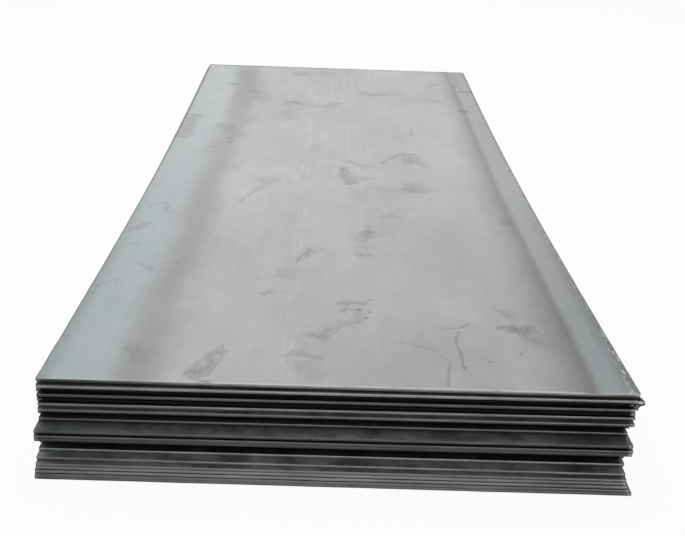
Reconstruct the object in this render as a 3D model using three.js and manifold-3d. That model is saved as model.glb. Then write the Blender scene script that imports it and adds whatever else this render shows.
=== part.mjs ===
// A stack of hot-rolled steel plates, cut to length from coil and lying flat on the ground.
// Millimetres, +Z up. X runs across the plates and Y along them, with the front ends at low Y.
import * as THREE from 'three';
import { mergeVertices } from 'three/addons/utils/BufferGeometryUtils.js';
import Module from 'manifold-3d';

const wasm = await Module();
wasm.setup();

// The plate as it is sold
const plateWidth = 1500;
const plateLength = 4000;
const plateThickness = 8;
const cornerRadius = 3;

// Bow left by the coil: the plates lie tight about mid-length, and their ends spring up
const tightLength = 400; // stretch about mid-length where every plate is flat
const bowPower = 1.6; // how the lift grows from that stretch to the end of a plate
const facetLength = 150; // length of each straight facet of the bow
const endGap = 1.2; // what a plate's ends open above the plate under it
const topEndGap = 7; // the top plate is loose and springs open further
const bundleEndGap = 6.6; // so does the pushed-out plate in the middle of the stack
const closeEndGap = 0.4; // the plates under the turned corner are pressed closer

// Corner of the second plate that a fork or chain has turned out and pressed down
const earReach = 17; // how far it stands out past the plate's long edge
const earDrop = 8; // from the plate's top face down to its tip
const earDepth = 28; // from the plate's top face down to its torn root
const earTip = 3; // thickness left at the tip
const earLength = 80; // along the long edge, from the front end
const earRoot = 8; // how far it runs back into the plate
const earInset = 0.3; // between the plate's front end and the turned corner
const earClearance = 1; // between the torn root and the plates beside it

const steel = { top: 0xb2b5b4, seen: 0x5c5f60, inner: 0x3a3c3d };

// From the top down. trim: narrower than the full width, or wider below 0. side: shift along X.
// reach: how far the front end stands forward of the top plate's. skew: turn in degrees about the
// front end's middle. gap: what the plate's ends open above the plate under it.
const layers = [
  {
    name: 'plate_01_top', trim: 0, side: 0, reach: 0, skew: 0, gap: topEndGap, looseCorner: 14,
    look: 'top',
  },
  {
    name: 'plate_02_turned_corner', trim: 7, side: -2, reach: 5, skew: 0.18, gap: closeEndGap,
    look: 'seen',
  },
  { name: 'plate_03', trim: 4, side: -7, reach: -14, skew: 0.05, gap: closeEndGap, look: 'inner' },
  { name: 'plate_04', trim: 6, side: -6.5, reach: -9, skew: 0.1, gap: closeEndGap, look: 'inner' },
  { name: 'plate_05', trim: 11, side: -4, reach: 3, skew: 0.12, gap: endGap, look: 'seen' },
  { name: 'plate_06', trim: 0, side: -4.5, reach: -13, skew: 0.1, gap: endGap, look: 'inner' },
  { name: 'plate_07', trim: 1, side: -3.5, reach: -10, skew: 0.2, gap: endGap, look: 'inner' },
  { name: 'plate_08', trim: 5, side: -2, reach: -3, skew: 0.3, gap: endGap, look: 'seen' },
  { name: 'plate_09', trim: 14, side: -3, reach: 13, skew: 0.12, gap: endGap, look: 'seen' },
  { name: 'plate_10', trim: 5, side: -5.5, reach: -9, skew: 0.1, gap: endGap, look: 'inner' },
  { name: 'plate_11', trim: 9, side: -8.5, reach: -13, skew: 0.1, gap: endGap, look: 'inner' },
  { name: 'plate_12', trim: 25, side: -10, reach: 8, skew: 0.1, gap: endGap, look: 'seen' },
  { name: 'plate_13', trim: 21, side: -9, reach: 57, skew: 0.08, gap: bundleEndGap, look: 'seen' },
  { name: 'plate_14', trim: 18, side: -9, reach: 55, skew: 0.02, gap: endGap, look: 'seen' },
  { name: 'plate_15', trim: 19, side: -9, reach: 54, skew: 0.02, gap: endGap, look: 'seen' },
  { name: 'plate_16', trim: 8, side: -10, reach: -20, skew: 0, gap: endGap, look: 'inner' },
  { name: 'plate_17', trim: 6, side: -10, reach: -26, skew: -0.1, gap: endGap, look: 'inner' },
  { name: 'plate_18', trim: 8, side: -11, reach: -19, skew: 0.1, gap: endGap, look: 'inner' },
  { name: 'plate_19', trim: 5, side: -11, reach: -24, skew: 0, gap: endGap, look: 'inner' },
  { name: 'plate_20', trim: 8, side: -11.5, reach: -17, skew: -0.1, gap: endGap, look: 'inner' },
  { name: 'plate_21', trim: 17, side: -12, reach: 8, skew: -0.12, gap: endGap, look: 'seen' },
  { name: 'plate_22', trim: 21, side: -14, reach: 38, skew: -0.3, gap: endGap, look: 'seen' },
  { name: 'plate_23', trim: 22, side: -13, reach: 52, skew: -0.22, gap: endGap, look: 'seen' },
  { name: 'plate_24', trim: 18, side: -12, reach: 51, skew: -0.23, gap: endGap, look: 'seen' },
  { name: 'plate_25', trim: 14, side: -12, reach: 53, skew: -0.22, gap: endGap, look: 'seen' },
  { name: 'plate_26', trim: 7, side: -9, reach: 55, skew: -0.22, gap: endGap, look: 'seen' },
  { name: 'plate_27_bottom', trim: 0, side: -7, reach: 54, skew: -0.3, gap: 0, look: 'seen' },
];

// Places along the stack where the bow's facets meet, measured from mid-length
function bowStations() {
  const furthest = plateLength / 2 + Math.max(...layers.map((layer) => Math.abs(layer.reach)));
  const oneSide = [];
  for (let y = tightLength / 2; y < furthest + 2 * facetLength; y += facetLength) {
    oneSide.push(y);
  }
  return [...oneSide.map((y) => -y).reverse(), ...oneSide];
}

// Share of a plate's end lift at a place along the stack
function liftShare(y) {
  const past = Math.max(0, Math.abs(y) - tightLength / 2);
  return (past / (plateLength / 2 - tightLength / 2)) ** bowPower;
}

// Height of the underside of a plate at a place along the stack
function underside(layer, y) {
  return layer.base + layer.lift * liftShare(y);
}

function toManifold(geometry) {
  geometry.deleteAttribute('normal');
  geometry.deleteAttribute('uv');
  const merged = mergeVertices(geometry);
  return new wasm.Manifold(new wasm.Mesh({
    numProp: 3,
    vertProperties: merged.attributes.position.array,
    triVerts: Uint32Array.from(merged.index.array),
  }));
}

function toGeometry(solid) {
  const mesh = solid.getMesh();
  const geometry = new THREE.BufferGeometry();
  geometry.setAttribute('position', new THREE.BufferAttribute(mesh.vertProperties, 3));
  geometry.setIndex(new THREE.BufferAttribute(mesh.triVerts, 1));
  const flat = geometry.toNonIndexed();
  flat.computeVertexNormals();
  return flat;
}

// The bowed strip that a plate is cut from: its side profile, drawn in Y and Z, drawn out along X
function bowedStrip(layer) {
  const stations = bowStations();
  const profile = new THREE.Shape();
  profile.moveTo(stations[0], underside(layer, stations[0]));
  for (const y of stations.slice(1)) {
    profile.lineTo(y, underside(layer, y));
  }
  for (const y of stations.toReversed()) {
    profile.lineTo(y, underside(layer, y) + plateThickness);
  }
  const stripWidth = 1.2 * plateWidth;
  const geometry = new THREE.ExtrudeGeometry(profile, { depth: stripWidth, bevelEnabled: false });
  geometry.translate(0, 0, -stripWidth / 2);
  const alongX = new THREE.Matrix4().makeBasis(
    new THREE.Vector3(0, 1, 0),
    new THREE.Vector3(0, 0, 1),
    new THREE.Vector3(1, 0, 0),
  );
  return geometry.applyMatrix4(alongX);
}

// Outline of a plate seen from above, with its front end's middle at the origin
function plateOutline(layer) {
  const half = (plateWidth - layer.trim) / 2;
  const r = cornerRadius;
  const loose = layer.looseCorner ?? r;
  const outline = new THREE.Shape();
  outline.moveTo(-half + r, 0);
  outline.lineTo(half - loose, 0);
  outline.absarc(half - loose, loose, loose, -Math.PI / 2, 0);
  outline.lineTo(half, plateLength - r);
  outline.absarc(half - r, plateLength - r, r, 0, Math.PI / 2);
  outline.lineTo(-half + r, plateLength);
  outline.absarc(-half + r, plateLength - r, r, Math.PI / 2, Math.PI);
  outline.lineTo(-half, r);
  outline.absarc(-half + r, r, r, Math.PI, 1.5 * Math.PI);
  return outline;
}

// Where the front end's middle of a plate lies in the stack, and how the plate is turned there
function layMatrix(layer) {
  const place = new THREE.Matrix4().makeTranslation(layer.side, -plateLength / 2 - layer.reach, 0);
  const turn = new THREE.Matrix4().makeRotationZ(THREE.MathUtils.degToRad(layer.skew));
  return place.multiply(turn);
}

// A block as tall as the stack over an outline in the plate's own plan
function cutter(outline, layer, stackHeight) {
  const geometry = new THREE.ExtrudeGeometry(outline, {
    depth: 2 * stackHeight,
    curveSegments: 4,
    bevelEnabled: false,
  });
  geometry.translate(0, 0, -stackHeight / 2);
  return toManifold(geometry.applyMatrix4(layMatrix(layer)));
}

// The turned corner: a torn flap that starts in the plate's long edge, bends down to a thin tip
// and hangs beside the plates under it, widest at the front end and running out along the edge
function turnedCorner(layer, stackHeight) {
  const edge = (plateWidth - layer.trim) / 2;
  const frontY = -plateLength / 2 - layer.reach;
  const topZ = underside(layer, frontY) + plateThickness;
  const isBeside = (plate) =>
    plate.base < layer.base && underside(plate, frontY) + plateThickness > topZ - earDepth;
  const rightEdges = layers.filter(isBeside).map((plate) => (plateWidth - plate.trim) / 2 + plate.side);
  const rootX = Math.max(...rightEdges) + earClearance - layer.side - edge;
  const flap = new THREE.Shape();
  flap.moveTo(-earRoot, -plateThickness / 2);
  flap.lineTo(-earRoot, -earInset);
  flap.lineTo(0, -earInset);
  flap.quadraticCurveTo(0.7 * earReach, -earInset, earReach, -earDrop);
  flap.lineTo(earReach, -earDrop - earTip);
  flap.quadraticCurveTo(0.3 * earReach, -earDrop - earTip, rootX + earTip, -earDepth);
  flap.lineTo(rootX, -earDepth);
  flap.lineTo(rootX, -plateThickness / 2);
  const geometry = new THREE.ExtrudeGeometry(flap, {
    depth: earLength + earInset,
    curveSegments: 6,
    bevelEnabled: false,
  });
  // the extrusion runs back along Y and follows the slope of the plate it grows from
  const slope = (underside(layer, frontY + earLength) - underside(layer, frontY)) / earLength;
  geometry.applyMatrix4(new THREE.Matrix4().set(
    1, 0, 0, edge,
    0, 0, 1, 0,
    0, 1, slope, topZ,
    0, 0, 0, 1,
  ));
  const solid = toManifold(flipWinding(geometry).applyMatrix4(layMatrix(layer)));
  const runOut = new THREE.Shape([
    new THREE.Vector2(edge - earRoot, earInset),
    new THREE.Vector2(edge + earReach, earInset),
    new THREE.Vector2(edge + earReach, earInset + earLength / 8),
    new THREE.Vector2(edge + rootX, earLength),
    new THREE.Vector2(edge - earRoot, earLength),
  ]);
  return solid.intersect(cutter(runOut, layer, stackHeight));
}

// Turns every triangle over, for a shape that was mirrored into place
function flipWinding(geometry) {
  const position = geometry.attributes.position;
  for (let corner = 0; corner < position.count; corner += 3) {
    const second = new THREE.Vector3().fromBufferAttribute(position, corner + 1);
    const third = new THREE.Vector3().fromBufferAttribute(position, corner + 2);
    position.setXYZ(corner + 1, third.x, third.y, third.z);
    position.setXYZ(corner + 2, second.x, second.y, second.z);
  }
  return geometry;
}

function makePlate(layer, stackHeight) {
  let solid = toManifold(bowedStrip(layer)).intersect(cutter(plateOutline(layer), layer, stackHeight));
  if (layer.name === 'plate_02_turned_corner') {
    solid = solid.add(turnedCorner(layer, stackHeight));
  }
  const material = new THREE.MeshStandardMaterial({
    color: steel[layer.look],
    roughness: 0.55,
    metalness: 0.6,
  });
  const plate = new THREE.Mesh(toGeometry(solid), material);
  plate.name = layer.name;
  return plate;
}

// Each plate rests on the one under it, and its ends are lifted by every gap below
let lift = 0;
for (const [height, layer] of layers.toReversed().entries()) {
  lift += layer.gap;
  layer.base = height * plateThickness;
  layer.lift = lift;
}
const stackHeight = layers.length * plateThickness + lift;

const stack = new THREE.Group();
for (const layer of layers) {
  stack.add(makePlate(layer, stackHeight));
}

// The origin is under the middle of the stack, on the ground
const middle = new THREE.Box3().setFromObject(stack).getCenter(new THREE.Vector3());
stack.position.set(-middle.x, -middle.y, 0);

export default stack;
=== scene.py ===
import bisect
import math
import bmesh
import bpy
from mathutils import Matrix, Vector, noise


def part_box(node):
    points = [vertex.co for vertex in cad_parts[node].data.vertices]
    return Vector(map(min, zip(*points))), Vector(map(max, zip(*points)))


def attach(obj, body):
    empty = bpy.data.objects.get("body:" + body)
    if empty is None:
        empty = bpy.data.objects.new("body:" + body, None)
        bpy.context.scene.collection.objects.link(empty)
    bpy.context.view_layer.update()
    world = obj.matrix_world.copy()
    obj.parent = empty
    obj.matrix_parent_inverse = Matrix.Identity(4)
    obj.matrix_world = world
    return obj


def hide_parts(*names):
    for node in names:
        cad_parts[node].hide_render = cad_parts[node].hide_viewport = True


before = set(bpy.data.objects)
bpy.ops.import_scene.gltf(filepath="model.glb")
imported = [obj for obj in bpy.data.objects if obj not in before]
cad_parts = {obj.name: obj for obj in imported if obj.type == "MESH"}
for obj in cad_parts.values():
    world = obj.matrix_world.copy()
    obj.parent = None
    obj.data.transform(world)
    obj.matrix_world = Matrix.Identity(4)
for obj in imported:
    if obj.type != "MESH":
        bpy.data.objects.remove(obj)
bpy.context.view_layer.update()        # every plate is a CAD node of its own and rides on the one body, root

topLow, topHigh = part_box("plate_01_top")
frontMiddle = Vector(((topLow.x + topHigh.x) / 2, topLow.y, topHigh.z))  # top plate's front edge
print("frame loaded:", len(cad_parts), "plates")


view = {
    "fromFrontMiddle": (-0.0540, -2.3621, 1.2528),  # metres from the top plate's front edge
    "turnDeg": -1.178,
    "downDeg": 21.628,
    "rollDeg": 2.147,
    "lensMm": 56.54,
}


def newObject(name, data):
    made = bpy.data.objects.new(name, data)
    bpy.context.scene.collection.objects.link(made)
    return made


def makeCamera():
    camera = bpy.data.cameras.new("camera")
    camera.lens = view["lensMm"]
    camera.clip_end = 200
    holder = newObject("camera", camera)
    turned = (
        Matrix.Rotation(math.radians(view["turnDeg"]), 4, "Z")
        @ Matrix.Rotation(math.radians(90 - view["downDeg"]), 4, "X")
        @ Matrix.Rotation(math.radians(view["rollDeg"]), 4, "Z")
    )
    place = frontMiddle + Vector(view["fromFrontMiddle"])
    holder.matrix_world = Matrix.Translation(place) @ turned
    bpy.context.scene.camera = holder


makeCamera()

studio = {
    "worldStrength": 0.247,
    "skyColour": (0.97, 0.97, 0.97),
    "skyInGloss": 0.767,  # what glossy faces reflect, between the plain world and the white one
    "lamps": {
        # name: place, aimed at, width, depth, power in watts
        "overhead": ((-0.6, 1.2, 5.5), (0, 0, 0), 6.0, 6.0, 230),
        "rear": ((0.5, 8.0, 3.2), (0, 0.5, 0.2), 6.0, 2.5, 40),
    },
    "floorColour": (0.80, 0.80, 0.80),
    "floorGlow": 0.95,  # how far the floor is plain white to the camera; the rest is lit and shaded
    "floorSize": 120,
}


def makeLamps():
    for name, (place, target, width, depth, power) in studio["lamps"].items():
        lamp = bpy.data.lights.new(name, "AREA")
        lamp.shape = "RECTANGLE"
        lamp.size, lamp.size_y, lamp.energy = width, depth, power
        holder = newObject(name, lamp)
        holder.location = place
        holder.rotation_euler = (Vector(target) - Vector(place)).to_track_quat("-Z", "Y").to_euler()


makeLamps()


class Wire:
    # a socket that takes part in Python sums; numbers on the other side are set on the node
    def __init__(self, finish, socket):
        self.finish, self.socket = finish, socket

    def calculate(self, operation, first, second=None, clamp=False):
        sockets = {0: first} if second is None else {0: first, 1: second}
        return self.finish.add("ShaderNodeMath", {"operation": operation, "use_clamp": clamp}, sockets)

    def __add__(self, other):
        return self.calculate("ADD", self, other)

    def __sub__(self, other):
        return self.calculate("SUBTRACT", self, other)

    def __mul__(self, other):
        return self.calculate("MULTIPLY", self, other)

    def __truediv__(self, other):
        return self.calculate("DIVIDE", self, other)

    def __pow__(self, other):
        return self.calculate("POWER", self, other)

    def __rsub__(self, other):
        return self.calculate("SUBTRACT", other, self)

    def __rtruediv__(self, other):
        return self.calculate("DIVIDE", other, self)

    def __abs__(self):
        return self.calculate("ABSOLUTE", self)

    __radd__ = __add__
    __rmul__ = __mul__

    def least(self, other):
        return self.calculate("MINIMUM", self, other)

    def most(self, other):
        return self.calculate("MAXIMUM", self, other)

    def held(self):
        return self.calculate("ADD", self, 0.0, clamp=True)


class Finish:
    # the nodes of a new material, or of the world when that is the owner
    def __init__(self, name, owner=None):
        self.owner = owner or bpy.data.materials.new(name)
        self.owner.use_nodes = True
        self.tree = self.owner.node_tree
        self.tree.nodes.clear()

    def add(self, kind, settings=None, sockets=None, result=None):
        node = self.tree.nodes.new(kind)
        for key, value in (settings or {}).items():
            if key == "stops":
                self.setRamp(node.color_ramp, value)
            else:
                setattr(node, key, value)
        for key, value in (sockets or {}).items():
            self.feed(self.pick(node.inputs, key), value)
        return Wire(self, self.pick(node.outputs, result or 0)) if node.outputs else None

    def pick(self, sockets, key):
        live = [socket for socket in sockets if socket.enabled]
        return live[key] if isinstance(key, int) else next(s for s in live if s.name == key)

    def feed(self, socket, value):
        if isinstance(value, Wire):
            self.tree.links.new(value.socket, socket)
        else:
            socket.default_value = value

    def setRamp(self, ramp, stops):
        ramp.interpolation = "B_SPLINE"
        for place, level in stops[2:]:
            ramp.elements.new(place)
        for stop, (place, level) in zip(ramp.elements, sorted(stops)):
            stop.position = place
            stop.color = (level, level, level, 1)

    def besides(self, wire, name):
        # another output of the node that this wire comes from
        return Wire(self, wire.socket.node.outputs[name])

    def vector(self, operation, first, second=None, result=None, scale=None):
        sockets = {0: first, 1: second, "Scale": scale}
        sockets = {key: value for key, value in sockets.items() if value is not None}
        return self.add("ShaderNodeVectorMath", {"operation": operation}, sockets, result)

    def timesPlus(self, first, second, third):
        # first times second, and third added
        return self.add("ShaderNodeMath", {"operation": "MULTIPLY_ADD"}, {0: first, 1: second, 2: third})

    def grey(self, level):
        channels = {"Red": level, "Green": level, "Blue": level}
        return self.add("ShaderNodeCombineColor", {"mode": "RGB"}, channels)

    def step(self, value, low, high, height=None):
        # 0 below low and 1, or the height, above high, with a soft shoulder at each end
        rise = self.add("ShaderNodeMapRange", {"interpolation_type": "SMOOTHSTEP"},
                        {"Value": value, "From Min": low, "From Max": high})
        return rise if height is None else rise * height

    def fall(self, value, low, high):
        return 1 - self.step(value, low, high)

    def blend(self, factor, first, second):
        return self.add("ShaderNodeMix", {"data_type": "RGBA"},
                        {"Factor": factor, "A": first, "B": second}, "Result")

    def noise(self, vector, detail, roughness, result="Fac"):
        return self.add("ShaderNodeTexNoise", {"noise_dimensions": "3D"},
                        {"Vector": vector, "Scale": 1.0, "Detail": detail, "Roughness": roughness}, result)

    def bump(self, height, strength, distance):
        return self.add("ShaderNodeBump", {}, {"Strength": strength, "Distance": distance,
                                               "Height": height})

    def surface(self, colour, roughness, metallic, normal, specular=0.5):
        sockets = {"Base Color": colour, "Roughness": roughness, "Metallic": metallic, "Normal": normal,
                   "Specular IOR Level": specular}
        shader = self.add("ShaderNodeBsdfPrincipled", {}, sockets)
        self.add("ShaderNodeOutputMaterial", {}, {"Surface": shader})
        return self.owner


def floorFinish():
    finish = Finish("paleFloor")
    rays = finish.add("ShaderNodeLightPath", {}, {}, "Is Camera Ray")
    white = rays
    for name in ("Is Glossy Ray", "Is Transmission Ray"):
        white = white.most(finish.besides(rays, name))
    lit = finish.add("ShaderNodeBsdfDiffuse", {}, {"Color": (*studio["floorColour"], 1)})
    glow = finish.add("ShaderNodeEmission", {}, {"Color": (1, 1, 1, 1), "Strength": 1.0})
    mixed = finish.add("ShaderNodeMixShader", {}, {0: white * studio["floorGlow"], 1: lit, 2: glow})
    finish.add("ShaderNodeOutputMaterial", {}, {"Surface": mixed})
    return finish.owner


def makeFloor():
    shape = bmesh.new()
    bmesh.ops.create_grid(shape, x_segments=1, y_segments=1, size=studio["floorSize"] / 2)
    mesh = bpy.data.meshes.new("floor")
    shape.to_mesh(mesh)
    shape.free()
    floor = newObject("floor", mesh)
    mesh.materials.append(floorFinish())


makeFloor()


def makeWorld():
    # plain soft light, and a white background to the camera
    world = bpy.data.worlds.new("studio")
    bpy.context.scene.world = world
    finish = Finish("studio", world)
    rays = finish.add("ShaderNodeLightPath", {}, {}, "Is Camera Ray")
    seen = rays.most(finish.besides(rays, "Is Glossy Ray") * studio["skyInGloss"])
    strength = finish.add("ShaderNodeMapRange", {},
                          {"Value": seen, "To Min": studio["worldStrength"], "To Max": 1.0})
    sky = finish.add("ShaderNodeBackground", {}, {"Color": (*studio["skyColour"], 1), "Strength": strength})
    finish.add("ShaderNodeOutputWorld", {}, {"Surface": sky})


makeWorld()
bpy.context.scene.view_settings.view_transform = "Standard"
print("camera, lamps and floor")


# Places on a plate are in millimetres: across from the top plate's middle, and along from its front end
def plateFinish(name, patterns):
    finish = Finish(name)
    finish.patterns = patterns
    spot = finish.add("ShaderNodeTexCoord", {}, {}, "Object")
    spot = finish.vector("SUBTRACT", spot, tuple(frontMiddle))
    finish.spot = finish.vector("MULTIPLY", spot, (1000, 1000, 1000))
    return finish


def axes(finish):
    across = finish.add("ShaderNodeSeparateXYZ", {}, {0: finish.spot}, "X")
    return across, finish.besides(across, "Y"), finish.besides(across, "Z")


def flattened(finish):
    # the place seen from above, with 1 for its third number, as a stroke takes it
    return finish.vector("ADD", finish.vector("MULTIPLY", finish.spot, (1, 1, 0)), (0, 0, 1))


def shared(shares, mask):
    # the first share everywhere, and the second added where the mask is 1
    return shares[0] + mask * shares[1]


def patches(finish, across, along, detail=3.0, roughness=0.55, upright=0.0):
    # noise whose patches are about this many millimetres wide, long and high
    pitch = (1 / across, 1 / along, 1 / upright if upright else 0)
    return finish.noise(finish.vector("MULTIPLY", finish.spot, pitch), detail, roughness)


def pattern(finish, name):
    return patches(finish, *finish.patterns[name])


topScale = {
    "level": 0.475,  # open mill scale in the middle of the sheet
    "plain": 0.578,  # its tone before the patterns are added, as a share of that level
    "dirt": (0.135, 0.132, 0.126, 1),
    "bareAndHighlight": (0.66, 0.665, 0.66, 1),  # steel where the scale has come off, and the painted highlight along the front end
    # the colour of the painted shade along the long edges, and of the darker back end and the dents
    "rim": (0.10, 0.102, 0.10, 1),
    "halfWidth": 750,
    "rightHalf": (-100, 100),  # the step between the two halves, and the one away from the front
    "nearFront": (300, 2000),
    # the patterns: width and length of a patch, and then the noise's detail and roughness
    "patterns": {
        "cloud": (55, 115, 5.0, 0.62),
        "speck": (5, 6, 3.0, 0.7),
        "slow": (330, 700, 3.0),
        "rolled": (26, 1500, 4.0, 0.62),  # lengthwise streaks left by the rolls
        "fineRolled": (4, 320, 3.0, 0.6),
        "wander": (900, 300, 4.0, 0.6),
        "lineBreaks": (12, 70, 4.0, 0.65),
        "lineStretches": (30, 300, 3.0),
        "lilac": (130, 420),
        "teal": (90, 300, 4.0),
        "blot": (60, 210, 4.0, 0.6),
        "grain": (24, 36, 4.0, 0.6),
        "crumbs": (9, 12, 4.0, 0.7),
        "worn": (16, 50, 5.0, 0.68),
        "rimBreaks": (60, 60, 4.0, 0.6),
        "dents": (10, 34, 4.0, 0.65),
    },
    # how much of a pattern is added to the tone
    "shares": {"slow": 0.42, "rolled": 0.12, "fineRolled": 0.04, "cloud": 0.22, "speck": 0.05},
    # broad darker places, as strokes: depth (below 0 is lighter), reach, and the points of the line
    "broadTones": {
        "lighterLeft": (-0.036, 420, (-330, 900), (-300, 1900)),
        "darkerRight": (0.030, 380, (430, 420), (420, 560), (440, 1500), (380, 2000)),
        "darkerCorner": (0.085, 520, (360, -60), (760, 60)),
        "darkerFront": (0.09, 2200, (420, -200), (760, -200)),
    },
    # light lines that the rolls drew: place across, half width, strength
    "drawnLines": ((-240, 4, 0.3), (-147, 8, 1.2), (-128, 7, 1.0), (-62, 4, 0.4), (-33, 4, 0.3), (86, 6, 0.5),
                   (102, 4, 0.4)),
    "lineDepth": 0.13,
    "lineShares": (0.25, 0.95),  # everywhere, and added where it is sound
    # the rolled streaks are stronger about this line across, and away from the front
    "streakyMiddle": 30,
    "streakyAcross": (40, 300),
    "streakyAlong": (900, 1400),
    "streakyDepth": 0.14,
}

# The blue-grey bands along the two long edges of the top face, and the dark borders inside them.
# Two or three numbers are a step: where it starts, where it ends and its height.
bands = {
    # a band ends at this line: places across, for places along from 0 to 1
    "leftLine": ((0.0, -576), (0.15, -572), (0.27, -556), (0.45, -584), (0.60, -566), (0.72, -556),
                 (0.86, -542), (1.0, -596)),
    "rightLine": ((0.0, 628), (0.06, 645), (0.33, 643), (0.62, 654), (0.85, 654), (1.0, 642)),
    "lineLength": 4000,
    "lineSpan": 1400,  # places across that a ramp's 0 to 1 stands for, about the middle
    "sway": 80,  # how far the lines stray, and the right one's share of it
    "rightSway": 0.3,
    "leftStreaks": 40,  # and how far the rolled streaks move them
    "rightStreaks": 22,
    "leftSoft": (-36, 36),
    "rightSoft": (-38, -4),
    "blue": (0.392, 0.446, 0.457, 1),
    "teal": (0.372, 0.440, 0.436, 1),
    "lilac": (0.424, 0.430, 0.452, 1),
    "washed": (0.428, 0.431, 0.430, 1),  # the left band loses its colour towards the back
    "sage": (0.418, 0.435, 0.423, 1),  # and the right one turns faintly green
    "tealSpots": (0.48, 0.62),
    "lilacSpots": (0.47, 0.64),
    "lilacDepth": 0.85,
    "leftPales": (300, 4300, 0.6),
    "rightPales": (200, 850, 0.85),
    "sageEnds": (2500, 3300),
    "greyOutside": (655, 735),
    "greySpots": (0.50, 0.62),
    "greyDepth": 0.7,
    "greyDarker": 0.10,
    "leftLevel": 0.82,
    "leftLightens": (0, 4000, 0.16),
    "rightLevel": 0.52,
    "rightLightens": (450, 2000, 0.16),
    "blotDepth": 0.26,
    "streakDepth": 0.14,
    "outermost": (700, 738),  # the outermost strip is duller near the front
    "outerDull": (0.02, 0.18),  # everywhere, and added near the front
    "leftStarts": (-46, 50),  # the dark borders: where they start and fade, and how dark they are
    "leftFades": (62, 170),
    "leftFray": 90,
    "leftDepth": 0.262,
    "leftWeakens": (1000, 4000, 0.25),
    "rightStarts": (-34, 6),
    "rightWidth": 190,
    "rightNarrows": 0.024,
    "rightFray": 50,
    "rightFall": 1.9,
    "rightDepth": 0.56,
    "rightShares": (0.78, 0.22),
    "borderClouds": (0.55, 0.9),
}

# Marks left by boots and slings, as strokes: strength, reach in millimetres, then the points of the line.
# The soft ones are smudges and the fine ones are outlines, scratches and specks.
softMarks = {
    "bootAtFront": [
        (0.66, 26, (-319, 205), (-340, 130)), (0.66, 36, (-346, 118), (-356, 60)),
    ],
    "heelBeside": [
        (0.52, 26, (-126, 192), (-95, 202), (-68, 172)), (0.30, 46, (-96, 120), (-60, 50)),
    ],
    "bootWithSpecks": [
        (0.44, 26, (12, 548), (62, 556)), (0.44, 20, (8, 500), (28, 530)),
        (0.38, 26, (62, 480), (45, 430), (11, 400)), (0.62, 28, (-66, 318), (-48, 330)),
        (0.34, 28, (-40, 330), (-10, 372)),
    ],
    "bootLeftOfMiddle": [
        (0.66, 18, (-95, 1040), (-112, 985)), (0.36, 34, (-88, 1050), (-112, 1000)),
        (0.26, 40, (-140, 930), (-150, 860)), (0.44, 52, (-166, 830), (-158, 775)),
        (0.18, 22, (-290, 765), (-205, 770)), (0.30, 20, (-229, 611), (-171, 624)),
    ],
    "bootInMiddle": [
        (0.72, 40, (108, 1240), (100, 1185)), (0.52, 22, (97, 1300), (104, 1240)),
        (0.34, 26, (120, 1205), (137, 1196)), (0.40, 30, (66, 1173), (78, 1129)),
        (0.30, 44, (82, 1070), (84, 1010)), (0.60, 24, (72, 985), (98, 982)),
        (0.36, 26, (158, 1412), (185, 1438), (221, 1404)), (0.20, 50, (185, 1330), (180, 1230)),
    ],
    "dragAcross": [
        (0.40, 36, (-318, 1710), (-288, 1785), (-255, 1870)), (0.30, 50, (-306, 1850), (-262, 1800)),
        (0.22, 34, (-165, 1400), (-170, 1260)), (0.24, 34, (-140, 1950), (-130, 1900)),
    ],
    "bootFarther": [
        (0.74, 26, (24, 2030), (27, 1945), (44, 1877), (60, 1848)), (0.46, 34, (40, 1960), (62, 1900)),
        (0.40, 36, (78, 1925), (116, 1900)),
        (0.40, 32, (56, 2155), (83, 2109), (106, 2082), (140, 2090)),
        (0.36, 16, (-11, 2244), (39, 2261)), (0.26, 46, (150, 1800), (250, 1760)),
        (0.20, 60, (80, 1720), (90, 1640)),
    ],
    "bootFarRight": [
        (0.62, 30, (278, 2290), (338, 2288)), (0.66, 40, (306, 2240), (318, 2180)),
        (0.40, 26, (346, 2240), (370, 2110)), (0.62, 40, (282, 1790), (296, 1740)),
        (0.52, 30, (284, 1728), (338, 1738)), (0.44, 60, (312, 1830), (326, 1780)),
    ],
    "farEnd": [
        (0.60, 66, (-224, 3170), (-202, 3178)), (0.40, 48, (-130, 3130), (-37, 3145), (0, 3190)),
        (0.30, 70, (-239, 3010), (-246, 2860)), (0.52, 50, (150, 3420), (189, 3408), (262, 3425)),
        (0.24, 44, (262, 3425), (343, 3445)), (0.40, 56, (-226, 3829), (-180, 3837)),
        (0.26, 50, (-64, 3876), (-16, 3861)), (0.30, 36, (509, 3668), (566, 3676)),
        (0.26, 40, (-85, 2420), (-95, 2300)), (0.28, 70, (380, 3330), (520, 3300)),
    ],
    "leafPatch": [
        (0.95, 40, (482, 418), (512, 416)), (0.90, 36, (498, 400), (522, 380)),
        (0.42, 34, (528, 362), (546, 312)), (0.34, 26, (470, 528), (496, 506)),
    ],
    "leftBand": [
        (0.50, 30, (-716, 1190), (-683, 1246)), (0.36, 18, (-700, 1050), (-665, 1056)),
        (0.32, 22, (-702, 1460), (-660, 1480), (-617, 1408)), (0.48, 26, (-626, 838), (-592, 800)),
        (0.28, 22, (-583, 857), (-526, 862)), (0.14, 60, (-538, 790), (-528, 690)),
        (0.34, 44, (-535, 185), (-529, 125)), (0.52, 52, (-722, 2500), (-716, 2650), (-706, 2880)),
    ],
    "leftStains": [
        (0.50, 22, (-620, 3548), (-585, 3544)), (0.64, 40, (-452, 3408), (-425, 3400)),
        (0.26, 90, (-500, 3800), (-440, 3440), (-402, 3220)), (0.34, 60, (-539, 2690), (-462, 2560)),
        (0.56, 34, (-489, 2475), (-480, 2435)),
    ],
    "rightStains": [
        (0.80, 34, (688, 3550), (722, 3536)), (0.66, 40, (650, 3122), (664, 3110)),
        (0.42, 28, (676, 3950), (672, 3600)), (0.40, 34, (628, 1440), (624, 1370)),
    ],
}

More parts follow.
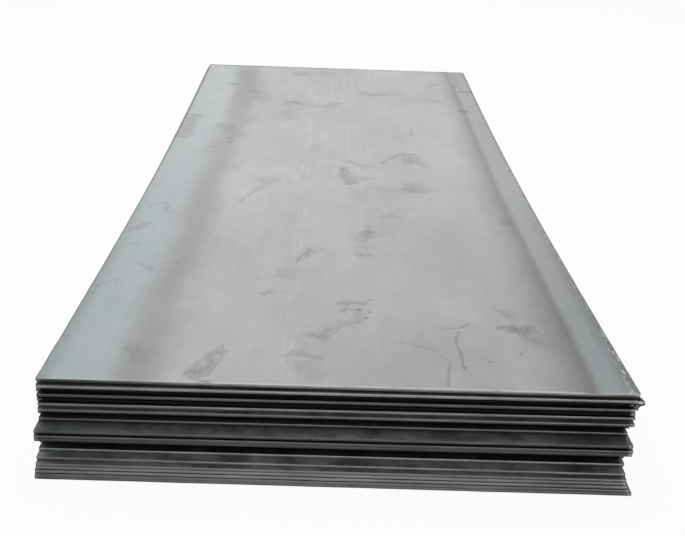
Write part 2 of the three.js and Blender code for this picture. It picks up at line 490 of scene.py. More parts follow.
fineMarks = {
    "bootAtFront": [
        (0.66, 5, (-313, 234), (-308, 150), (-320, 92), (-338, 34)),
        (0.50, 5, (-315, 226), (-337, 176), (-366, 128), (-378, 88)),
        (0.40, 8, (-333, 162), (-333, 137), (-351, 114), (-368, 118)),
        (0.80, 7, (-392, 49), (-373, 72)), (0.90, 9, (-369, 68), (-367, 58)),
        (0.60, 7, (-380, 36), (-358, 24)), (0.95, 9, (-347, 8), (-328, 6)),
    ],
    "heelBeside": [(0.50, 6, (-135, 188), (-124, 210), (-90, 204))],
    "bootWithSpecks": [
        (0.78, 6, (19, 560), (50, 563), (75, 575), (99, 600)),
        (0.78, 6, (2, 500), (28, 518), (63, 503)), (1.60, 6, (60, 520), (60, 507)),
        (1.60, 6, (84, 500), (85, 496)), (1.50, 6, (72, 454), (73, 450)),
        (0.76, 9, (-80, 336), (-61, 305), (-37, 299)), (0.46, 7, (-37, 299), (-7, 360), (12, 396)),
        (0.24, 6, (-74, 352), (-40, 374), (-4, 402)),
    ],
    "bootLeftOfMiddle": [
        (0.85, 8, (-108, 1000), (-121, 962), (-141, 905)), (1.10, 9, (-230, 611), (-226, 613)),
        (0.95, 8, (-217, 634), (-213, 636)),
    ],
    "bootInMiddle": [
        (0.44, 10, (58, 1040), (56, 990), (74, 968), (99, 964)),
        (0.26, 9, (99, 964), (114, 1006), (113, 1055)),
    ],
    "dragAcross": [
        (0.50, 9, (-379, 1548), (-322, 1700)), (0.70, 11, (-327, 1688), (-320, 1704)),
        (0.20, 9, (-322, 1700), (-257, 1795), (-243, 1895)),
    ],
    "bootFarRight": [(0.56, 15, (194, 2142), (214, 2190), (242, 2240), (280, 2298))],
    "pastFarBoot": [(0.46, 10, (358, 2740), (350, 2613))],
    "forkedScratch": [
        (0.56, 7, (275, 393), (302, 396), (347, 395)), (0.86, 7, (347, 395), (369, 426)),
        (0.20, 6, (381, 440), (447, 494)),
        (0.84, 5, (333, 372), (320, 317), (319, 259), (324, 194), (323, 132)),
        (1.00, 8, (323, 142), (323, 128)), (0.34, 5, (323, 132), (337, 86)),
    ],
    "longScratch": [
        (0.30, 6, (11, 396), (90, 335), (165, 287)), (0.62, 6, (165, 287), (199, 270), (256, 234)),
        (0.50, 6, (264, 206), (283, 176)), (0.66, 5, (291, 156), (279, 92), (272, 16)),
        (0.34, 8, (222, 361), (240, 345)),
    ],
    "besideLeaf": [
        (0.20, 7, (473, 531), (497, 533), (507, 465), (540, 463)), (1.20, 6, (391, 176), (391, 173)),
        (1.00, 6, (489, 230), (489, 227)),
    ],
    "leftBand": [
        (0.44, 6, (-733, 636), (-687, 697), (-652, 733), (-617, 772)),
        (1.00, 6, (-681, 679), (-680, 676)), (0.90, 6, (-669, 683), (-668, 680)),
        (1.00, 8, (-727, 642), (-724, 644)), (0.90, 8, (-731, 585), (-729, 587)),
        (0.50, 12, (-586, 2314), (-553, 2320)), (0.90, 20, (-590, 3541), (-562, 3538)),
    ],
}


def stroke(finish, flat, reach, points):
    # square of the distance from a line through the points, as a share of the reach
    nearest = None
    for (x0, y0), (x1, y1) in zip(points, points[1:]):
        length = math.hypot(x1 - x0, y1 - y0)
        dx, dy = (x1 - x0) / length / reach, (y1 - y0) / length / reach
        x, y = (x0 + x1) / 2, (y0 + y1) / 2
        # flat has 1 for its third number, so each product takes in the line's own place
        onLine = finish.vector("DOT_PRODUCT", flat, (dx, dy, -dx * x - dy * y), "Value")
        offLine = finish.vector("DOT_PRODUCT", flat, (-dy, dx, dy * x - dx * y), "Value")
        past = (abs(onLine) - length / 2 / reach).most(0.0)
        square = finish.timesPlus(offLine, offLine, past * past)
        nearest = square if nearest is None else nearest.least(square)
    return nearest


def softStroke(finish, flat, strength, reach, *points):
    # its strength on its line, and 0 at its reach
    return (1 - stroke(finish, flat, reach, points)).most(0.0) * strength


def markHeight(finish, flat, groups):
    # how strong the strongest mark is here: its strength on its line, and 0 at its reach
    total = None
    for group in groups.values():
        for strength, reach, *points in group:
            mark = finish.timesPlus(stroke(finish, flat, reach, points), -strength, strength)
            total = mark if total is None else total.most(mark)
    return total.most(0.0)


def shaken(finish, flat, pitch, detail, reach):
    # the place moved about by noise, so that the strokes drawn on it come out uneven
    push = finish.noise(finish.vector("MULTIPLY", finish.spot, pitch), detail, 0.55, "Color")
    push = finish.vector("MULTIPLY", finish.vector("SUBTRACT", push, (0.5, 0.5, 0.5)), reach)
    return finish.vector("ADD", push, flat)


def lineAcross(finish, along, stops):
    # where a band's line lies, in millimetres across, from a ramp along the plate
    span = bands["lineSpan"]
    shares = [(at, place / span + 0.5) for at, place in stops]
    ramp = finish.add("ShaderNodeValToRGB", {"stops": shares}, {0: along / bands["lineLength"]}, "Color")
    return (ramp - 0.5) * span


def bandColour(finish, across, along, nearFront):
    # blue, teal and lilac patches, which pale to grey towards the back and most of all at the right
    lilacSpots = finish.step(pattern(finish, "lilac"), *bands["lilacSpots"])
    tealSpots = finish.step(pattern(finish, "teal"), *bands["tealSpots"])
    tint = finish.blend(tealSpots, bands["blue"], bands["teal"])
    atRight = finish.step(across, *topScale["rightHalf"])
    lilac = lilacSpots * (1 - atRight * nearFront) * bands["lilacDepth"]
    tint = finish.blend(lilac, tint, bands["lilac"])
    paling = finish.step(along, *bands["leftPales"])
    paling = paling + atRight * (finish.step(along, *bands["rightPales"]) - paling).most(0.0)
    blot = pattern(finish, "blot")
    greyPatch = finish.step(abs(across), *bands["greyOutside"]) * finish.step(blot, *bands["greySpots"])
    sage = atRight * finish.fall(along, *bands["sageEnds"])
    pale = finish.blend(sage, bands["washed"], bands["sage"])
    tint = finish.blend((paling + greyPatch * bands["greyDepth"]).least(1.0), tint, pale)
    leftLevel = bands["leftLevel"] + finish.step(along, *bands["leftLightens"])
    rightLevel = bands["rightLevel"] + finish.step(along, *bands["rightLightens"])
    level = leftLevel + atRight * (rightLevel - leftLevel)
    level = level + blot * bands["blotDepth"]
    level = level + pattern(finish, "rolled") * bands["streakDepth"]
    level = level - greyPatch * bands["greyDarker"]
    outer = finish.step(abs(across), *bands["outermost"])
    level = level - outer * shared(bands["outerDull"], nearFront)
    return finish.vector("SCALE", tint, scale=level)


def drawnLines(finish, across):
    # thin light lines, each broken into stretches
    lines = None
    for place, halfWidth, strength in topScale["drawnLines"]:
        line = (1 - abs(across - place) / halfWidth).most(0.0) * strength
        lines = line if lines is None else lines.most(line)
    broken = finish.step(pattern(finish, "lineBreaks"), 0.46, 0.62)
    stretches = finish.step(pattern(finish, "lineStretches"), 0.42, 0.58)
    return lines * stretches * shared(topScale["lineShares"], broken)


def borderDark(finish, along, cloud, fromLeft, fromRight, nearFront):
    # how dark the border inside each band is, by the distance in from the band's line
    faded = finish.fall(fromLeft + (cloud - 0.5) * bands["leftFray"], *bands["leftFades"])
    left = finish.step(fromLeft, *bands["leftStarts"]) * faded * bands["leftDepth"]
    left = left * (1.0 - finish.step(along, *bands["leftWeakens"]))
    frayed = fromRight + (cloud - 0.5) * bands["rightFray"]
    share = frayed / (bands["rightWidth"] - along * bands["rightNarrows"])
    right = finish.step(fromRight, *bands["rightStarts"])
    right = right * ((1 - share.most(0.0)).most(0.0) ** bands["rightFall"])
    right = right * bands["rightDepth"] * shared(bands["rightShares"], nearFront)
    return (left + right) * shared(bands["borderClouds"], cloud)


# How the marks show: the smudges are shaken into uneven shapes, and the fine lines only a little
markLook = {
    # pitch of the shaking along each axis, detail, and how far it moves them in millimetres
    "softShake": ((0.016, 0.011, 0), 2.6, (95, 135, 0)),
    "fineShake": ((0.020, 0.016, 0), 2.0, (22, 28, 0)),
    "softFoot": (-0.06, 0.26),  # a smudge thins out below this strength
    "grains": (0.36, 0.64),
    "fineShares": (0.25, 1.15),
    "dirtDepth": 0.62,
    "haloStarts": (0.02, 0.14),  # scraped steel just beside the fine lines
    "haloEnds": (0.16, 0.40),
    "haloGrains": (0.48, 0.60),
    "haloDepth": 0.26,
}

# The rims of the top face, in millimetres in from its edges
rims = {
    "frontBright": (3, 11),  # a painted highlight along the front end, partly worn steel
    "frontBreaks": (0.36, 0.50),
    "frontDepth": 0.24,
    "frontStronger": (-520, -320, 0.40),  # stronger right of here, and weaker at the far right
    "frontWeaker": (560, 660, 0.16),
    # flakes by the front right corner: from this far across, up to this far along, and their depth
    "cornerFlakes": (((722, 738), (160, 460), 0.9), ((640, 738), (8, 30), 0.8)),
    "edgeFlakes": (5, 16),
    "edgeShares": (0.12, 0.33),  # everywhere, and added at the right
    "flakeEdges": (0.50, 0.60),
    "dentEdges": (0.50, 0.58),
    "dentDeep": (8, 20),
    "dentDepth": 0.45,
    "dentShares": (0.4, 0.6),
    "darkDeep": (1.2, 5.5),  # the painted shade of the long edges' rounded rim, which is wider towards the back
    "darkWidens": 0.0015,
    "darkFray": 3,
    "darkDepth": 0.68,
    "backStarts": (3976, 3990),
    "backFray": 30,
    "backDepth": 0.75,
    "backWeaker": (-500, 300, 0.35),
}


def brightRims(finish, across, along, worn, inward, rightSide):
    # a painted highlight along the front end, partly worn steel, and worn flakes at the front right
    breaks = finish.step(pattern(finish, "rimBreaks"), *rims["frontBreaks"])
    front = finish.fall(along, *rims["frontBright"]) * breaks
    depth = rims["frontDepth"] + finish.step(across, *rims["frontStronger"])
    depth = depth - finish.step(across, *rims["frontWeaker"])
    chipped = finish.fall(inward, *rims["edgeFlakes"]) * shared(rims["edgeShares"], rightSide)
    for outside, upTo, most in rims["cornerFlakes"]:
        chipped = chipped.most(finish.step(across, *outside) * finish.fall(along, *upTo) * most)
    flakes = finish.step(worn, *rims["flakeEdges"]) * chipped
    return flakes.most(front * depth).least(1.0)


def darkRims(finish, across, along, worn, speck, inward, rightSide):
    # painted shade along the long edges, for their rounded rim, then darker along the back end, with small
    # dents
    dents = finish.step(pattern(finish, "dents"), *rims["dentEdges"])
    dents = dents * finish.fall(inward, *rims["dentDeep"]) * shared(rims["dentShares"], rightSide)
    frayed = inward + (speck - 0.5) * rims["darkFray"] - along * rims["darkWidens"]
    edge = finish.fall(frayed, *rims["darkDeep"]) * rims["darkDepth"]
    back = finish.step(along + (worn - 0.5) * rims["backFray"], *rims["backStarts"])
    back = back * (rims["backDepth"] - finish.step(across, *rims["backWeaker"]))
    return edge.most(dents * rims["dentDepth"]).most(back)


def topFinish():
    finish = plateFinish("millScaleTop", topScale["patterns"])
    across, along, _ = axes(finish)
    flat = flattened(finish)
    nearFront = finish.fall(along, *topScale["nearFront"])
    wander = (pattern(finish, "wander") - 0.5) * bands["sway"]
    tones = {name: pattern(finish, name) for name in topScale["shares"]}
    rolled, cloud, speck = tones["rolled"], tones["cloud"], tones["speck"]

    # the open scale: its patterns, the light lines and the broad duller places
    level = topScale["plain"]
    for name, share in topScale["shares"].items():
        level = level + tones[name] * share
    middle = finish.fall(abs(across - topScale["streakyMiddle"]), *topScale["streakyAcross"])
    middle = middle * finish.step(along, *topScale["streakyAlong"])
    level = level + (rolled - 0.5) * middle * topScale["streakyDepth"]
    for tone in topScale["broadTones"].values():
        level = level - softStroke(finish, flat, *tone)
    level = level + drawnLines(finish, across) * topScale["lineDepth"]
    colour = finish.grey(level * topScale["level"])

    # the bands along the two long edges, and the dark borders inside them
    fromLeft = across - lineAcross(finish, along, bands["leftLine"]) - wander
    fromLeft = fromLeft - (rolled - 0.5) * bands["leftStreaks"]
    fromRight = lineAcross(finish, along, bands["rightLine"]) - across - wander * bands["rightSway"]
    fromRight = fromRight - (rolled - 0.5) * bands["rightStreaks"]
    band = finish.fall(fromLeft, *bands["leftSoft"]).most(finish.fall(fromRight, *bands["rightSoft"]))
    colour = finish.blend(band, colour, bandColour(finish, across, along, nearFront))
    dark = borderDark(finish, along, cloud, fromLeft, fromRight, nearFront)
    colour = finish.vector("SCALE", colour, scale=1 - dark)

    # boots, slings and scratches
    soft = markHeight(finish, shaken(finish, flat, *markLook["softShake"]), softMarks)
    soft = soft * finish.step(soft, *markLook["softFoot"])
    fine = markHeight(finish, shaken(finish, flat, *markLook["fineShake"]), fineMarks)
    grain = finish.step(pattern(finish, "grain"), *markLook["grains"])
    crumbs = pattern(finish, "crumbs")
    mark = (soft * (0.56 + grain * 0.50 + (crumbs - 0.5) * 0.7)).most(0.0)
    mark = mark.most(fine * shared(markLook["fineShares"], crumbs)).least(1.0)
    halo = finish.step(fine, *markLook["haloStarts"]) * finish.fall(fine, *markLook["haloEnds"])
    halo = halo * finish.step(crumbs, *markLook["haloGrains"])
    colour = finish.blend(mark * markLook["dirtDepth"], colour, topScale["dirt"])
    colour = finish.blend(halo * markLook["haloDepth"], colour, topScale["bareAndHighlight"])

    inward = topScale["halfWidth"] - abs(across)
    worn = pattern(finish, "worn")
    rightSide = finish.step(across, *topScale["rightHalf"])
    # painted highlight along the front end, with worn flakes at the edges
    bright = brightRims(finish, across, along, worn, inward, rightSide)
    colour = finish.blend(bright, colour, topScale["bareAndHighlight"])
    # painted shade along the long edges, a darker back end and small dents
    dark = darkRims(finish, across, along, worn, speck, inward, rightSide)
    colour = finish.blend(dark, colour, topScale["rim"])

    rough = (0.50 + rolled * 0.10 + mark * 0.12 - band * 0.05 + speck * 0.05).held()
    relief = rolled * 0.5 + tones["fineRolled"] * 0.25 + cloud * 0.6 + speck * 0.15
    return finish.surface(colour, rough, 0.25, finish.bump(relief, 0.12, 0.002))


cutEdge = {
    "bright": (0.52, 0.525, 0.525, 1),  # upper part, burnished by the shear blade
    "torn": (0.225, 0.227, 0.225, 1),  # lower part, where the steel broke
    "stain": (0.16, 0.150, 0.135, 1),
    "stainDepth": 0.5,
    # the patterns: width, length, detail, roughness and height of a patch
    "waver": (50, 50, 4.0, 0.6, 50),
    "tooth": (1.8, 1.8, 3.0, 0.6, 10),
    "longRun": (160, 160, 3.0, 0.6, 33),
    "stains": (90, 90, 5.0, 0.65, 16),
    "nicks": (9, 9, 3.0, 0.6, 4),
    "tears": (0.40, 0.62),  # heights between which the bright part gives way to the torn one
    "duller": (-700, -320),  # left of here the edge is duller
    "dullerDepth": 0.30,
    "duskyTorn": (380, 620, 0.4),  # and right of here its torn part is
    "plainTone": 0.8,  # away from the front
    "flecked": 0.9,  # how bright the flecks at its ends are
}

covered = {
    # painted shade: the covered faces lie under the plates above, so their scale is far darker than the top
    # face's
    "level": 0.105,
    "blue": (0.085, 0.110, 0.118, 1),
    "brown": (0.104, 0.103, 0.090, 1),
    "blot": (0.030, 0.030, 0.030, 1),
    "tintDepth": 0.4,
    "rolled": (33, 830, 4.0, 0.6, 50),
    "cloud": (100, 100, 5.0, 0.6, 20),
    "speck": (5, 5, 3.0, 0.7, 5),
    "blueEnds": (-640, -430),
    "brownStarts": (-100, 480),
    "oilBlot": (0.45, 60, (590, -60), (600, 40)),
    "rightDuller": (430, 650, 0.42),
    "leftDuller": (-720, -420),
    "leftDullerDepth": 0.22,
    "plainTone": 1.2,
    "flecked": 0.6,
}

# What both have in common, in millimetres along the plate or in from its long edges
plateRims = {
    "leavesFront": (60, 500),  # the plate's own tone before this, and a plain one behind it
    # painted light from the sides, in this strip in from the long edges
    "litBeside": (4, 14),
    "litTone": 1.3,  # lowest tone in that strip
    "litShares": (0.25, 0.75),  # everywhere, and added at the right
    "flecks": (7, 16, 4.0, 0.6, 6),
    "fleckEdges": (0.43, 0.56),
    "fleckDeep": (6, 17),
    "fleckShares": (0.3, 0.7),
    # painted shade at the very rim and on the sides
    "darkDeep": (0.5, 4.0),
    "darkTones": (0.35, 0.30),  # everywhere, and added away from the front
}


def plateValue(finish, name):
    settings = {"attribute_type": "GEOMETRY", "attribute_name": name}
    return finish.add("ShaderNodeAttribute", settings, {}, "Fac")


def toned(finish, colour, tone, plainTone, flecked):
    # Scaled by the plate's own tone near the front, which is painted light and shade set plate by plate.
    # Beside its long edges a lighter strip is painted light from the sides, and flecks of scale have been
    # knocked off. The very rim and the sides are painted shade, deepest near the front.
    away = finish.step(axes(finish)[1], *plateRims["leavesFront"])
    tone = tone + (plateValue(finish, "shade") * plainTone - tone) * away
    inward = plateValue(finish, "inward")
    atRight = finish.step(plateValue(finish, "atRight"), 0.4, 0.6)
    # painted light: the strip beside the long edges, lit from the sides
    lit = finish.fall(inward, *plateRims["litBeside"]) * shared(plateRims["litShares"], atRight)
    colour = finish.vector("SCALE", colour, scale=tone + (plateRims["litTone"] - tone).most(0.0) * lit)
    flecks = finish.step(patches(finish, *plateRims["flecks"]), *plateRims["fleckEdges"])
    flecks = flecks * finish.fall(inward, *plateRims["fleckDeep"])
    flecks = flecks * shared(plateRims["fleckShares"], atRight) * flecked
    colour = finish.blend(flecks, colour, cutEdge["bright"])
    # painted shade at the very rim and on the sides
    rim = shared(plateRims["darkTones"], away)
    return finish.vector("SCALE", colour, scale=rim + finish.step(inward, *plateRims["darkDeep"]) * (1 - rim))


def coveredFinish():
    # The covered faces are painted shade: far darker than the top face, and darker still towards both ends.
    # Each plate's faceTone lightens or darkens them near the front.
    finish = plateFinish("millScaleCoveredInShade", covered)
    across = axes(finish)[0]
    rolled, cloud, speck = [pattern(finish, name) for name in ("rolled", "cloud", "speck")]
    blotch = finish.step(cloud, 0.38, 0.60)
    level = (0.42 + rolled * 0.36 + blotch * 0.72 + speck * 0.10) * covered["level"]
    colour = finish.grey(level)
    blue = finish.fall(across, *covered["blueEnds"])
    brown = finish.step(across, *covered["brownStarts"]) * finish.step(cloud, 0.35, 0.6)
    colour = finish.blend(blue * covered["tintDepth"], colour, covered["blue"])
    colour = finish.blend(brown * covered["tintDepth"], colour, covered["brown"])
    blot = softStroke(finish, flattened(finish), *covered["oilBlot"])
    colour = finish.blend(blot, colour, covered["blot"])
    atLeft = finish.fall(across, *covered["leftDuller"]) * covered["leftDullerDepth"]
    ends = finish.step(across, *covered["rightDuller"]) + atLeft
    tone = plateValue(finish, "faceTone") * (1 - ends)
    colour = toned(finish, colour, tone, covered["plainTone"], covered["flecked"])
    rough = (0.48 + cloud * 0.2).held()
    height = rolled * 0.4 + cloud * 0.6 + speck * 0.2
    return finish.surface(colour, rough, 0.25, finish.bump(height, 0.15, 0.002), 0.2)


def edgeFinish():
    finish = plateFinish("shearedEdge", cutEdge)
    across = axes(finish)[0]
    waver, tooth, longRun = [pattern(finish, name) for name in ("waver", "tooth", "longRun")]
    height = plateValue(finish, "rise") + (waver - 0.5) * 0.5 + (tooth - 0.5) * 0.3
    burnished = finish.step(height, *cutEdge["tears"])
    tornTone = plateValue(finish, "tornTone") * (1 - finish.step(across, *cutEdge["duskyTorn"]))
    torn = finish.vector("SCALE", cutEdge["torn"][:3], scale=tornTone)
    colour = finish.blend(burnished, torn, cutEdge["bright"])
    colour = finish.vector("SCALE", colour, scale=(0.50 + longRun * 0.94).least(1.08))
    stain = finish.step(pattern(finish, "stains"), 0.55, 0.75)
    colour = finish.blend(stain * cutEdge["stainDepth"], colour, cutEdge["stain"])
    nicks = finish.step(pattern(finish, "nicks"), 0.60, 0.70)
    colour = finish.blend(nicks * 0.5, colour, cutEdge["bright"])
    dulled = finish.fall(across, *cutEdge["duller"]) * cutEdge["dullerDepth"]
    tone = plateValue(finish, "edgeTone") * (1.08 - dulled)
    colour = toned(finish, colour, tone, cutEdge["plainTone"], cutEdge["flecked"])
    rough = (0.62 - burnished * 0.18 + tooth * 0.1).held()
    relief = tooth * 0.6 + waver * 0.4
    return finish.surface(colour, rough, 0.35, finish.bump(relief, 0.35, 0.001), 0.2)


bentCorner = {
    # middle of the painted highlight on the face of the bend: across, and up from the top plate; and how far
    # it reaches
    "heart": (750.4, -19.7),
    "heartReach": (9.6, 4.4),
    "heartSoft": (0.55, 1.05),
    # the painted highlight, and the painted shade round the lip
    "bright": (0.82, 0.825, 0.82, 1),
    "dark": (0.035, 0.035, 0.034, 1),
    "web": (0.19, 0.19, 0.188, 1),
    "webBelow": (-28, -24),
    "webInside": (740, 742),
    "crease": (5, 9, 4.0, 0.65, 4),
}


def cornerFinish():
    # the turned corner: a painted highlight on the face of the bend, and painted shade round its lip under
    # the top plate
    finish = plateFinish("bentCorner", bentCorner)
    across, _, up = axes(finish)
    crease = pattern(finish, "crease")
    (middle, height), (wide, high) = bentCorner["heart"], bentCorner["heartReach"]
    beside, above = (across - middle) / wide, (up - height) / high
    fromHeart = beside * beside + above * above + (crease - 0.5) * 0.5
    outer = finish.step(across + up * 0.15, *bentCorner["webInside"])
    lip = finish.step(up, *bentCorner["webBelow"]).most(outer)
    colour = finish.blend(lip, bentCorner["web"], bentCorner["dark"])
    colour = finish.blend(finish.step(fromHeart, *bentCorner["heartSoft"]), bentCorner["bright"], colour)
    return finish.surface(colour, (0.40 + crease * 0.25).held(), 0.3, finish.bump(crease, 0.25, 0.001))


finishes = {
    "topFace": topFinish(),
    "face": coveredFinish(),
    "edge": edgeFinish(),
    "corner": cornerFinish(),
}
print("finishes")


plateWork = {
    "thickness": 0.008,
    "topPitch": (0.012, 0.030),  # mesh spacing across and along
    "seenPitch": (0.024, 0.050),
    "hiddenPitch": (0.100, 0.100),
    "corner": 0.003,
    "looseCorner": 0.014,  # the top plate's front right corner
    "cornerSegments": 4,
    "easedFromDeg": 60,  # edges sharper than this are eased
    "topRound": 0.0010,  # the shear rolls the top edge over and leaves the bottom one sharp
    "bottomRound": 0.0004,
    "raggedEnd": 0.0007,
    "raggedSide": 0.0008,
    "raggedRim": 0.0015,  # how near its outline a point is moved
    # the ragged waves: their step from plate to plate, waves a metre, start and share
    "raggedWaves": ((7.31, 9.0, 0.0, 0.9), (3.17, 41.0, 5.0, 0.6)),
    "flatEnough": 0.75,  # a face more upright than this has the sheet's finish
    "sharpDeg": 32,
    # the top plate's cut edge is duller at its ends: dullest from, plain from, and the dullest tone
    "dullEnds": ((-0.62, -0.28, 0.42), (0.69, 0.655, 0.62)),
}

# How bright each plate's cut edge is near the front, the torn part of it against its usual tone, and the
# plate's faces: painted light and shade, set plate by plate.
# The plates left out lie back in the gaps, and near the front they are painted nearly black, as painted
# shade.
plateLightAndShade = {
    "01": (0.92, 1.0, 1.0), "02": (1.02, 1.4, 1.35), "05": (0.47, 1.0, 0.35), "08": (1.00, 1.7, 0.45),
    "09": (0.62, 1.1, 1.2), "12": (0.80, 0.5, 0.75), "13": (0.35, 1.0, 1.25), "14": (0.41, 1.6, 0.20),
    "15": (0.29, 1.3, 0.8), "21": (1.35, 1.0, 0.8), "22": (0.92, 1.2, 4.4), "23": (0.68, 1.6, 3.2),
    "24": (0.76, 2.3, 1.3), "25": (0.78, 2.3, 1.7), "26": (0.58, 2.2, 1.8), "27": (0.56, 1.7, 1.0),
}
gapShadeTones = (0.01, 1.0, 0.02)
shades = (1.0, 0.68, 1.25, 0.84, 1.1, 0.6, 0.92)  # away from the front, one plate and the next


class Lie:
    # how a CAD plate lies: its own across and along directions, its outline and its bow
    def __init__(self, node):
        left = [vert.co for vert in node.data.vertices if vert.co.x < 0]
        edge, lowest = {}, {}
        for place in left:
            key = round(place.y, 4)
            edge[key] = min(edge.get(key, 9.0), place.x)
            lowest[key] = min(lowest.get(key, 9.0), place.z)
        rows = sorted(edge.items())[6:-6]  # clear of its round corners
        turn = math.atan2(rows[0][1] - rows[-1][1], rows[-1][0] - rows[0][0])
        self.across = Vector((math.cos(turn), math.sin(turn), 0))
        self.along = Vector((-math.sin(turn), math.cos(turn), 0))
        every = [(self.across.dot(v.co), self.along.dot(v.co)) for v in node.data.vertices]
        self.left = min(u for u, v in every)
        self.front = min(v for u, v in every)
        self.back = max(v for u, v in every)
        middle = (self.front + self.back) / 2
        self.right = max(u for u, v in every if v > middle)
        self.bow = sorted(lowest.items())
        self.rows = [y for y, z in self.bow]

    def underside(self, y):
        i = min(max(bisect.bisect_left(self.rows, y), 1), len(self.rows) - 1)
        (y0, z0), (y1, z1) = self.bow[i - 1], self.bow[i]
        return z0 + (z1 - z0) * (y - y0) / (y1 - y0)


def raggedness(seed, place, size):
    waves = plateWork["raggedWaves"]
    return sum(noise.noise(Vector((seed * shift, place * pitch, start))) * share
               for shift, pitch, start, share in waves) * size


def blankPlate(lie, acrossPitch, alongPitch, frontRightCorner):
    # a flat sheet of small squares, made thick, with round corners and eased edges
    width, length, thickness = lie.right - lie.left, lie.back - lie.front, plateWork["thickness"]
    shape = bmesh.new()
    bmesh.ops.create_grid(shape, x_segments=round(width / acrossPitch), y_segments=round(length / alongPitch),
                          size=0.5)
    bmesh.ops.scale(shape, vec=(width, length, 1), verts=shape.verts)
    made = bmesh.ops.extrude_face_region(shape, geom=shape.faces[:])
    upper = [v for v in made["geom"] if isinstance(v, bmesh.types.BMVert)]
    bmesh.ops.translate(shape, vec=(0, 0, thickness), verts=upper)
    for edge in [e for e in shape.edges if abs(e.verts[0].co.z - e.verts[1].co.z) > thickness / 2]:
        x, y = edge.verts[0].co.x, edge.verts[0].co.y
        if abs(abs(x) - width / 2) < 1e-5 and abs(abs(y) - length / 2) < 1e-5:
            radius = frontRightCorner if x > 0 and y < 0 else plateWork["corner"]
            bmesh.ops.bevel(shape, geom=[edge], offset=radius, affect="EDGES", clamp_overlap=True,
                            segments=plateWork["cornerSegments"], profile=0.5, material=-1)
    bmesh.ops.recalc_face_normals(shape, faces=shape.faces)
    for top, key in ((True, "topRound"), (False, "bottomRound")):
        rim = [e for e in shape.edges if e.calc_face_angle(0) > math.radians(plateWork["easedFromDeg"])
               and (e.verts[0].co.z + e.verts[1].co.z > thickness) == top]
        bmesh.ops.bevel(shape, geom=rim, offset=plateWork[key], affect="EDGES", clamp_overlap=True,
                        segments=2 if top else 1, profile=0.5, material=-1)
    return shape


turnedCorner = {
    # section at the front end, in metres: out from the plate's long edge, and up from its underside
    "section": (
        (-0.0080, 0.0040), (-0.0080, 0.0075), (-0.0030, 0.0080), (0.0010, 0.0094), (0.0050, 0.0108),
        (0.0090, 0.0102), (0.0122, 0.0086), (0.0146, 0.0060), (0.0160, 0.0028), (0.0165, -0.0004),
        (0.0158, -0.0032), (0.0138, -0.0050), (0.0110, -0.0054), (0.0080, -0.0060), (0.0052, -0.0074),
        (0.0032, -0.0096), (0.0018, -0.0126), (0.0008, -0.0162), (-0.0002, -0.0198), (-0.0026, -0.0198),
        (-0.0030, -0.0166), (-0.0062, -0.0166), (-0.0062, 0.0040),
    ),
    "behindEnd": 0.0003,
    "length": 0.034,
    "slices": 16,
    "fall": 2.4,  # it draws in more and more steeply, down to this share
    "leastReach": 0.04,
    "drawnInTo": (-0.0025, 0.0040),  # the line that it draws in to: out, and up
    "returnDepth": 0.007,  # the web turns in before the set-back plates for this far
    "returnEdge": 0.0022,
    "returnBelow": 0.0042,
    "crumple": 0.0003,
    "crumplesPerMetre": 160,
    "crumpleSeed": 1,  # without a seed Blender starts the vector noise from the clock
    "crumpledOutside": 0.0005,
}


def turnCorner(shape, lie):
    # a flap torn out of the long edge: the section is drawn back along the plate and runs out into it
    work = turnedCorner
    edge, front = (lie.right - lie.left) / 2, (lie.front - lie.back) / 2
    outline = [shape.verts.new((edge + out, front + work["behindEnd"], up)) for out, up in work["section"]]
    end = shape.faces.new(outline)
    verts = set(outline)
    hingeOut, hingeUp = work["drawnInTo"]
    about = Matrix.Translation((edge + hingeOut, 0, hingeUp)).inverted()
    pitch = (work["length"] - work["behindEnd"]) / work["slices"]
    share, least = 1.0, work["leastReach"]
    for i in range(work["slices"]):
        made = bmesh.ops.extrude_face_region(shape, geom=[end])
        ring = [v for v in made["geom"] if isinstance(v, bmesh.types.BMVert)]
        if i and end.is_valid:
            shape.faces.remove(end)
        bmesh.ops.translate(shape, vec=(0, pitch, 0), verts=ring)
        after = (1 - ((i + 1) / work["slices"]) ** work["fall"]) * (1 - least) + least
        bmesh.ops.scale(shape, vec=(after / share, 1, 1), space=about, verts=ring)
        share = after
        if pitch * (i + 1) > work["returnDepth"]:
            for vert in [v for v in ring if v.co.z < work["returnBelow"]]:
                vert.co.x = max(vert.co.x, edge - work["returnEdge"])
        end = next(f for f in made["geom"] if isinstance(f, bmesh.types.BMFace))
        verts.update(ring)
    side = {f for v in verts for f in v.link_faces}
    for face in side:
        face.material_index = 2
    bmesh.ops.recalc_face_normals(shape, faces=list(side))
    noise.seed_set(work["crumpleSeed"])
    for vert in verts:
        if vert.co.x > edge + work["crumpledOutside"]:
            vert.co += noise.noise_vector(vert.co * work["crumplesPerMetre"]) * work["crumple"]


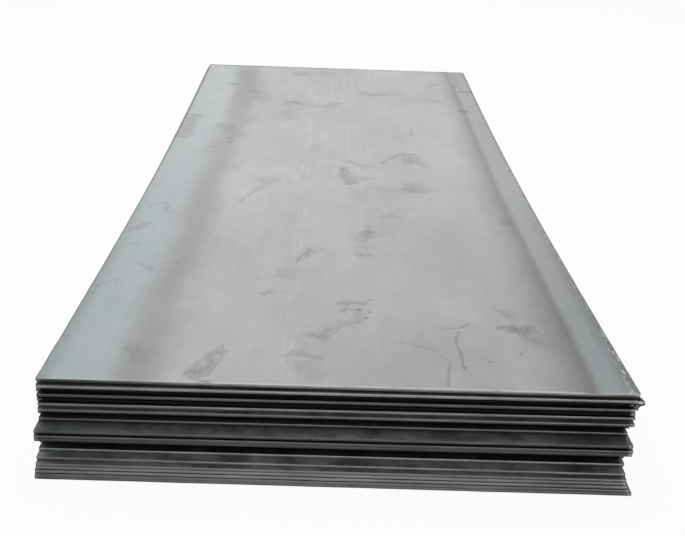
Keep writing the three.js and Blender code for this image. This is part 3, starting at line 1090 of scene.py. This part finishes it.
def layPlate(shape, lie, seed):
    # ragged ends and edges first, then the plate is bowed and laid where the CAD plate lies
    halfWidth, halfLength = (lie.right - lie.left) / 2, (lie.back - lie.front) / 2
    middleAcross, middleAlong = (lie.right + lie.left) / 2, (lie.front + lie.back) / 2
    near = plateWork["raggedRim"]
    for vert in shape.verts:
        rise = vert.co.z / plateWork["thickness"]
        layer = seed + 0.5 * (rise > 0.5)
        u, v = vert.co.x, vert.co.y
        if halfLength - abs(v) < near:
            v += raggedness(layer, u + math.copysign(3, v), plateWork["raggedEnd"])
        if abs(halfWidth - abs(u)) < near:
            u += raggedness(layer + 40, v + math.copysign(3, u), plateWork["raggedSide"])
        place = lie.across * (u + middleAcross) + lie.along * (v + middleAlong)
        vert.co = Vector((place.x, place.y, lie.underside(place.y) + vert.co.z))


def endDullness(x):
    tone = 1.0
    for dullest, plain, least in plateWork["dullEnds"]:
        tone *= least + (1 - least) * min(max((x - dullest) / (plain - dullest), 0), 1)
    return tone


def dressPlate(name, seed):
    number = name[6:8]
    lie = Lie(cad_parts[name])
    top, seen = number == "01", number in plateLightAndShade
    pitch = plateWork["topPitch" if top else "seenPitch" if seen else "hiddenPitch"]
    shape = blankPlate(lie, *pitch, plateWork["looseCorner" if top else "corner"])
    if number == "02":
        turnCorner(shape, lie)
    rises = [vert.co.z / plateWork["thickness"] for vert in shape.verts]
    inwards = [((lie.right - lie.left) / 2 - abs(vert.co.x)) * 1000 for vert in shape.verts]
    rights = [float(vert.co.x > 0) for vert in shape.verts]
    layPlate(shape, lie, seed)
    mesh = bpy.data.meshes.new("plate" + number)
    shape.to_mesh(mesh)
    edgeTone, tornTone, faceTone = plateLightAndShade.get(number, gapShadeTones)
    edgeTones = [edgeTone * (endDullness(vert.co.x) if top else 1.0) for vert in shape.verts]
    values = {"rise": rises, "inward": inwards, "atRight": rights, "edgeTone": edgeTones,
              "tornTone": [tornTone] * len(rises), "faceTone": [faceTone] * len(rises),
              "shade": [shades[seed % len(shades)]] * len(rises)}
    shape.free()
    for key, levels in values.items():
        mesh.attributes.new(key, "FLOAT", "POINT").data.foreach_set("value", levels)
    piece = newObject(mesh.name, mesh)
    for finish in ("topFace" if top else "face", "edge", "corner")[:3 if number == "02" else 2]:
        mesh.materials.append(finishes[finish])
    for face in mesh.polygons:
        if face.material_index < 2:
            face.material_index = 0 if abs(face.normal.z) > plateWork["flatEnough"] else 1
    mesh.shade_smooth()
    mesh.set_sharp_from_angle(angle=math.radians(plateWork["sharpDeg"]))
    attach(piece, "root")
    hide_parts(name)


for seed, name in enumerate(sorted(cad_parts)):
    dressPlate(name, seed)
print("plates dressed")
